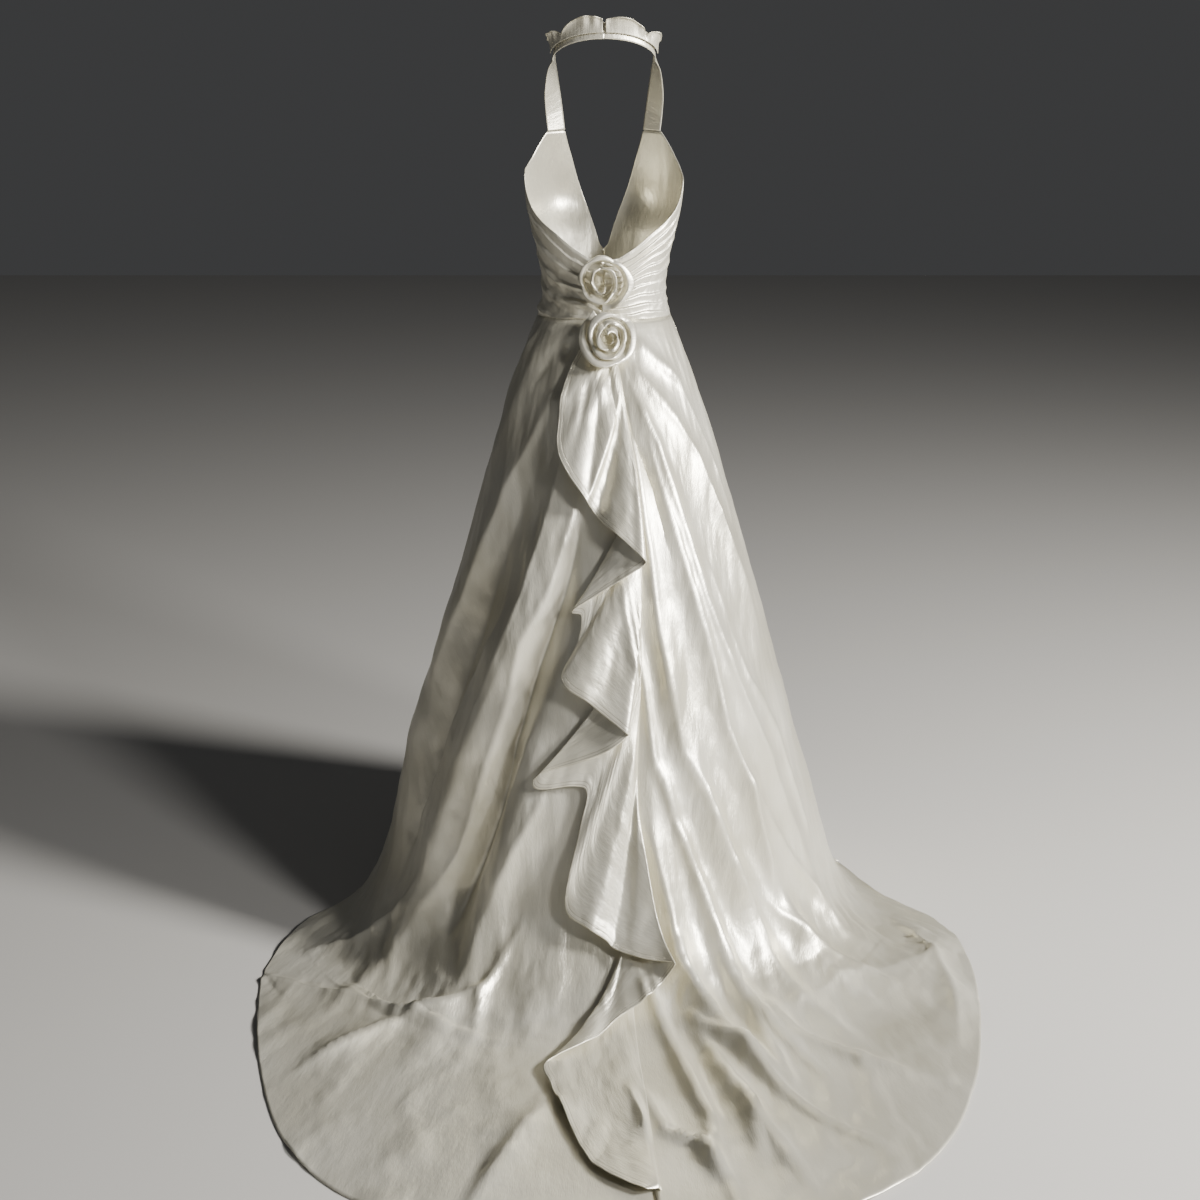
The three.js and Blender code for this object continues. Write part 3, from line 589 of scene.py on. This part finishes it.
def flounce_face(along, across):
    table = [(i, *row) for i, row in enumerate(FLOUNCE)]
    s0, deg0, s1, deg1, out = np.moveaxis(curve(table, along * (len(FLOUNCE) - 1)), -1, 0)
    first = LAP * 1000 + 2.3
    s = (s0 + (s1 - s0) * across) / 1000
    deg0 = deg0 + 0.6
    deg = deg0 + (deg1 - deg0) * across
    flute = cloth_noise(along * 1.0, 0 * along, 34.0, 5.2) * 0.012 + np.sin(along * 150) * 0.0012
    stand = (first + (out - first) * across ** 0.75) / 1000 + flute * across * smooth((out - 12) / 14)
    n = normal_of(plain_skirt, deg, s, 0.3, 0.004, outward(deg))
    stand = stand + fold_sum(VALLEYS, deg, s, 1.5) * smooth(across * 4)
    stand = stand + np.abs(crumple(deg, s, 1.1)) * smooth(across * 4)
    free = smooth(across * 5)
    ridges = np.max([0 * s] + [fold_height(deg + d, s) for d in (-2, 0, 2)], axis=0)
    under = fold_height(deg, s) * (1 - free) + ridges * free
    p = plain_skirt(deg, s) + n * (stand + under)[..., None]
    p[..., 2] = np.maximum(2 * LAP + 0.001, p[..., 2])
    return p


def flounce_panel(c, r):
    return flounce_face(r, c) - np.array([0, 0, NECK])


def flounce_cut(c, r):
    steps = np.linspace(0, 1, 400)
    edge = flounce_face(steps, 0 * steps + 1)
    run = np.concatenate([[0], np.cumsum(np.linalg.norm(np.diff(edge, axis=0), axis=-1))])
    wide = np.linalg.norm(flounce_face(r, 0 * r) - flounce_face(r, 0 * r + 1), axis=-1)
    return (1 - c) * wide, np.interp(r, steps, run)


def behind(point):
    return Vector((0.0, 1.0, 0.6))


HEM_COLUMNS = ([0, 0.8, 1], [0, 0.9, 1])
flounce = cloth("flounce_waterfall", 50, 420, flounce_panel, flounce_cut, behind, SATIN_HEM_PAINTED_SHADE,
                ["flounce"], columns=HEM_COLUMNS)

# %% [markdown]
# ## Bodice
# The back is cut low and laid in pleats that are caught under the roses; the front, which the
# back view hides, is a plain halter front shaped over the bust.

# %% Sizes of the bodice
TORSO = [
    (1.116, 0.117, 0.096, 0.104), (1.156, 0.108, 0.088, 0.092), (1.2, 0.111, 0.083, 0.098),
    (1.25, 0.121, 0.082, 0.112), (1.3, 0.132, 0.082, 0.124), (1.35, 0.138, 0.078, 0.124),
    (1.4, 0.134, 0.07, 0.114), (1.45, 0.124, 0.062, 0.1)]
TOP_EDGE = [
    (0, 1.217), (13, 1.221), (27, 1.238), (42, 1.262), (56, 1.28), (70, 1.301), (82, 1.325),
    (90, 1.35), (100, 1.362), (112, 1.386), (128, 1.43), (147, 1.432), (155, 1.385),
    (168, 1.29), (176, 1.231), (180, 1.222)]


def torso(deg, z, out):
    side, back, front = np.moveaxis(curve(TORSO, z), -1, 0)
    a = np.radians(deg)
    c = np.cos(a)
    deep = np.where(c > 0, back, front)
    p = np.stack([-side * np.sin(a), c * deep, z], -1)
    bust = 0.013 * np.exp(-(((np.abs(p[..., 0]) - 0.072) / 0.042) ** 2) - ((z - 1.308) / 0.042) ** 2)
    n = unit(np.stack([p[..., 0] / side**2, p[..., 1] / deep**2, 0 * z], -1))
    return p + n * (np.where(c < 0, bust, 0) + out)[..., None] - np.array([0, 0, NECK])


def top_edge(deg):
    a = np.abs(deg)
    raised = np.where(deg < 0, 0.014 * np.exp(-(((a - 92) / 14) ** 2)), 0)
    return line(TOP_EDGE, a)[0] + raised


def pleats(c, r, count, tall, seed):
    t = r * count + 0.55 * cloth_noise(c, r, 2.6, seed) + 0.12 * cloth_noise(c, r * 2, 9.0, seed)
    saw = t - np.floor(t)
    lifted = np.where(saw < 0.84, (saw / 0.84) ** 1.7, (1 - saw) / 0.16)
    return tall * lifted * (0.75 + 0.5 * cloth_noise(c, np.floor(t), 3.1, seed + 4))


def back_bodice(side):
    def place(c, r):
        deg = side * 90 * c
        z = WAIST_Z + (top_edge(deg) - WAIST_Z) * r
        near = smooth(c * 30) * smooth((1 - c) * 7) * smooth((1 - r) * 14) * smooth(r * 14)
        folds = pleats(c, r, 10, 0.0034, 2.5) if side > 0 else pleats(c, r - 0.16 * c, 5, 0.0072, 8.5)
        crushed = np.abs(cloth_noise(c * 1.5, r * 1.6 - c, 3.4, 11 + side)) * (0.002 if side > 0 else 0.005)
        return torso(deg, z, 0.001 + near * (folds + crushed * smooth((0.75 - r) * 3)))
    return place


def bodice_cut(side, full):
    def cut(c, r):
        deg = side * full(c)
        return np.radians(deg) * 0.112, WAIST_Z + (top_edge(deg) - WAIST_Z) * r
    return cut


def front_bodice(side):
    def place(c, r):
        deg = side * (90 + 90 * c)
        return torso(deg, WAIST_Z + (top_edge(deg) - WAIST_Z) * r, 0.001 + 0 * r)
    return place


# %% Cut the bodice
bodice = []
for side, word in ((1, "right"), (-1, "left")):
    bodice.append(cloth(f"bodice_back_{word}_pleated", 70, 110, back_bodice(side),
                        bodice_cut(side, lambda c: 90 * c), away_from_axis, SATIN, [f"bodice_back_{word}"]))
    bodice.append(cloth(f"bodice_front_{word}_cup", 80, 60, front_bodice(side),
                        bodice_cut(side, lambda c: 90 + 90 * c), away_from_axis, SATIN,
                        [f"bodice_front_{word}"]))

# %% [markdown]
# ## Neck
# A band goes round the back of the neck. A ruffle is sewn to it and stands up in lobes, and a
# strap runs from each end of the band down to the cup.

# %% Sizes and places at the neck
def band_point(side, c, r, out):
    a = np.radians(90 * c)
    inward = 0.004 * r
    p = np.stack([-side * (0.088 - inward) * np.sin(a), (0.06 - inward) * np.cos(a),
                  1.55 + 0.034 * np.cos(a) + 0.028 * r], -1)
    n = unit(np.stack([-side * np.sin(a) / 0.088, np.cos(a) / 0.06, 0 * a], -1))
    return p + n * np.asarray(out)[..., None] - np.array([0, 0, NECK])


def ruffle_point(side, c, r):
    first = np.sin(np.pi * (c + 0.13) / 0.71)
    second = 0.8 * np.sin(np.pi * (c - 0.58) / 0.55)
    lobes = np.maximum(0, np.where(c < 0.58, first, second)) ** 0.7
    waves = np.sin(c * 30 + side + 2.2 * np.sin(c * 9 + side))
    out = LAP + 0.0034 + (0.001 + 0.014 * lobes) * r ** 1.2 + 0.002 * waves * smooth(r * 1.2)
    up = 0.36 + (0.34 + 0.62 * lobes * (1 - 0.06 * side)) * np.sin(1.7 * r) / np.sin(1.7)
    return band_point(side, 0.02 + 0.95 * c, up, out)


STRAP_OUT = [(0, 0.088, -0.001, 1.55), (0.25, 0.098, -0.024, 1.533), (0.5, 0.104, -0.046, 1.496),
             (0.75, 0.103, -0.06, 1.462), (1, 0.1, -0.066, 1.431)]
STRAP_IN = [(0, 0.084, -0.001, 1.578), (0.25, 0.085, -0.036, 1.555), (0.5, 0.08, -0.068, 1.514),
            (0.75, 0.075, -0.082, 1.476), (1, 0.07, -0.088, 1.433)]


def strap_point(side, c, r):
    p = curve(STRAP_OUT, c) * (1 - r[..., None]) + curve(STRAP_IN, c) * r[..., None]
    return p * np.array([-side, 1, 1]) - np.array([0, 0, NECK])


# %% Make the neck pieces
neck = []
for side, word in ((1, "right"), (-1, "left")):
    neck.append(cloth(f"collar_{word}_band", 60, 10,
                      lambda c, r: band_point(side, c, r, 0.001 + 0 * c),
                      lambda c, r: (c * 0.12, r * 0.028), away_from_axis, SATIN, [f"collar_band_{word}"]))
    neck.append(cloth(f"collar_{word}_ruffle", 140, 24, lambda c, r: ruffle_point(side, c, r),
                      lambda c, r: (c * 0.19, r * 0.03), away_from_axis, SATIN,
                      [f"collar_ruffle_{word}"]))
    neck.append(cloth(f"halter_{word}_strap", 60, 12, lambda c, r: strap_point(side, c, r),
                      lambda c, r: (c * 0.19, r * 0.03), away_from_axis, SATIN,
                      [f"halter_strap_{word}"]))

# %% [markdown]
# ## Roses
# Each rose is a bias strip folded and rolled, its inner edge sewn down and its outer edge free,
# so that the turns stand behind one another like petals.

# %% Roll the roses
def back_face(x, z):
    deg, s = 0 * x, 0 * x
    for _ in range(6):
        p = plain_skirt(deg, s)
        s = np.maximum(0, s + (p[..., 2] - z) * 1.05)
        deg = deg + (p[..., 0] - x) / 0.0024
    side, back, _ = np.moveaxis(curve(TORSO, z), -1, 0)
    bodice_y = back * np.sqrt(np.maximum(0.05, 1 - (x / side) ** 2))
    return np.where(z > WAIST_Z, bodice_y, plain_skirt(deg, s)[..., 1])


def rose_face(spec):
    def place(c, r):
        a = math.radians(spec["start"]) + 2 * np.pi * spec["turns"] * c
        grow = spec["inner"] + (spec["outer"] - spec["inner"]) * c
        petal = np.abs(np.sin(spec["petals"] * np.pi * c + 0.4)) ** 0.6
        ripple = 1 + spec["ripple"] * (petal - 0.6) * r
        crushed = cloth_noise(c * 1.4, r * 0.25, 14.0, spec["petals"]) * 0.006 * r * spec["crush"]
        reach = grow * ripple + spec["flare"] * (0.25 + 0.75 * c) * r ** 1.6 + 0.001 + crushed
        wide = spec["slit"] + (spec["wide"] - spec["slit"]) * c ** 0.6
        x = spec["x"] + wide * reach * np.cos(a)
        z = spec["z"] + reach * np.sin(a)
        under = spec["clear"] + spec["step"] * smooth((x + 0.036) / 0.02)
        end = smooth((1 - c) * 16) * smooth(c * 24)
        tall = spec["tall"] * (1 - 0.42 * c) * (0.86 + 0.2 * petal) * (0.2 + 0.8 * end)
        return np.stack([x, back_face(x, z) + under + tall * np.sin(2.05 * r), z - NECK], -1)
    return place


def rose_cut(spec):
    def cut(c, r):
        grow = (spec["inner"] + spec["outer"]) / 2
        return c * 2 * np.pi * spec["turns"] * grow, r * spec["tall"] * 1.2
    return cut


ROSES = {
    "rose_lower": dict(x=-0.010, z=1.093, inner=0.006, outer=0.036, turns=3.1, tall=0.036, flare=0.017,
                       petals=8, ripple=0.16, wide=0.98, slit=0.9, start=20, clear=0.0065, step=0.012,
                       crush=1.0),
    "rose_upper": dict(x=0.005, z=1.183, inner=0.011, outer=0.038, turns=2.19, tall=0.034, flare=0.013,
                       petals=6, ripple=0.16, wide=1.12, slit=0.5, start=200, clear=0.006, step=0.0,
                       crush=0.9)}
roses = [cloth(name + "_rolled", 360, 26, rose_face(spec), rose_cut(spec), behind, SATIN, [name])
         for name, spec in ROSES.items()]

# %% [markdown]
# ## What each cut is
# Each piece is listed with how it is held, and the area of its flat cut is worked out.

HELD = [(skirt_left, "hung"), (skirt_right, "hung"), (skirt_front, "hung"), (flounce, "gathered")]
HELD += [(piece, "stretched") for piece in bodice + neck] + [(piece, "gathered") for piece in roses]
for (piece, size, area), held in HELD:
    flat_area = min(size[0] * size[1], area)
    max(flat_area, 0.3 * size[0] * size[1])

# %% [markdown]
# ## Light, floor and camera
# A large soft key from the wearer's right picks out the folds, and a weak fill keeps the far side
# from going black. The camera stands behind the dress at shoulder height.

# %% Stage
def soft_light(name, place, aim, size, power, colour):
    data = bpy.data.lights.new(name, "AREA")
    data.shape = "DISK"
    data.size = size
    data.energy = power
    data.color = colour
    light = bpy.data.objects.new(name, data)
    light.location = place
    light.rotation_euler = (Vector(aim) - Vector(place)).to_track_quat("-Z", "Y").to_euler()
    bpy.context.scene.collection.objects.link(light)


bm = bmesh.new()
bmesh.ops.create_grid(bm, x_segments=1, y_segments=1, size=12.0)
floor_mesh = bpy.data.meshes.new("studio_floor")
bm.to_mesh(floor_mesh)
bm.free()
floor = bpy.data.objects.new("studio_floor", floor_mesh)
floor.location.z = cad_box[0][2] - 0.0005
bpy.context.scene.collection.objects.link(floor)
floor_material, _, floor_shader = new_material("pale_floor")
floor_shader.inputs["Base Color"].default_value = (0.5, 0.49, 0.47, 1.0)
floor_shader.inputs["Roughness"].default_value = 0.9
floor.data.materials.append(floor_material)

soft_light("key", (-3.7, 1.9, 0.95), (0.0, 0.25, -0.9), 0.9, 520, (1.0, 0.975, 0.93))
soft_light("strip", (-3.1, 3.7, 1.1), (0.0, 0.3, -1.0), 0.8, 165, (1.0, 0.98, 0.95))
soft_light("fill", (2.4, 3.8, 0.9), (0.0, 0.2, -0.9), 2.4, 3, (0.95, 0.97, 1.0))
world = bpy.data.worlds.new("studio")
world.use_nodes = True
background = next(n for n in world.node_tree.nodes if n.type == "BACKGROUND")
background.inputs["Color"].default_value = (0.82, 0.83, 0.85, 1.0)
background.inputs["Strength"].default_value = 0.06
bpy.context.scene.world = world

camera_data = bpy.data.cameras.new("camera")
camera_data.lens = 53.28
camera_data.sensor_width = 36.0
camera = bpy.data.objects.new("camera", camera_data)
camera.location = (0.0071, 3.2, 1.5 - NECK)
camera.rotation_euler = (math.radians(74.0), 0.0, math.radians(180.0))
bpy.context.scene.collection.objects.link(camera)
bpy.context.scene.camera = camera
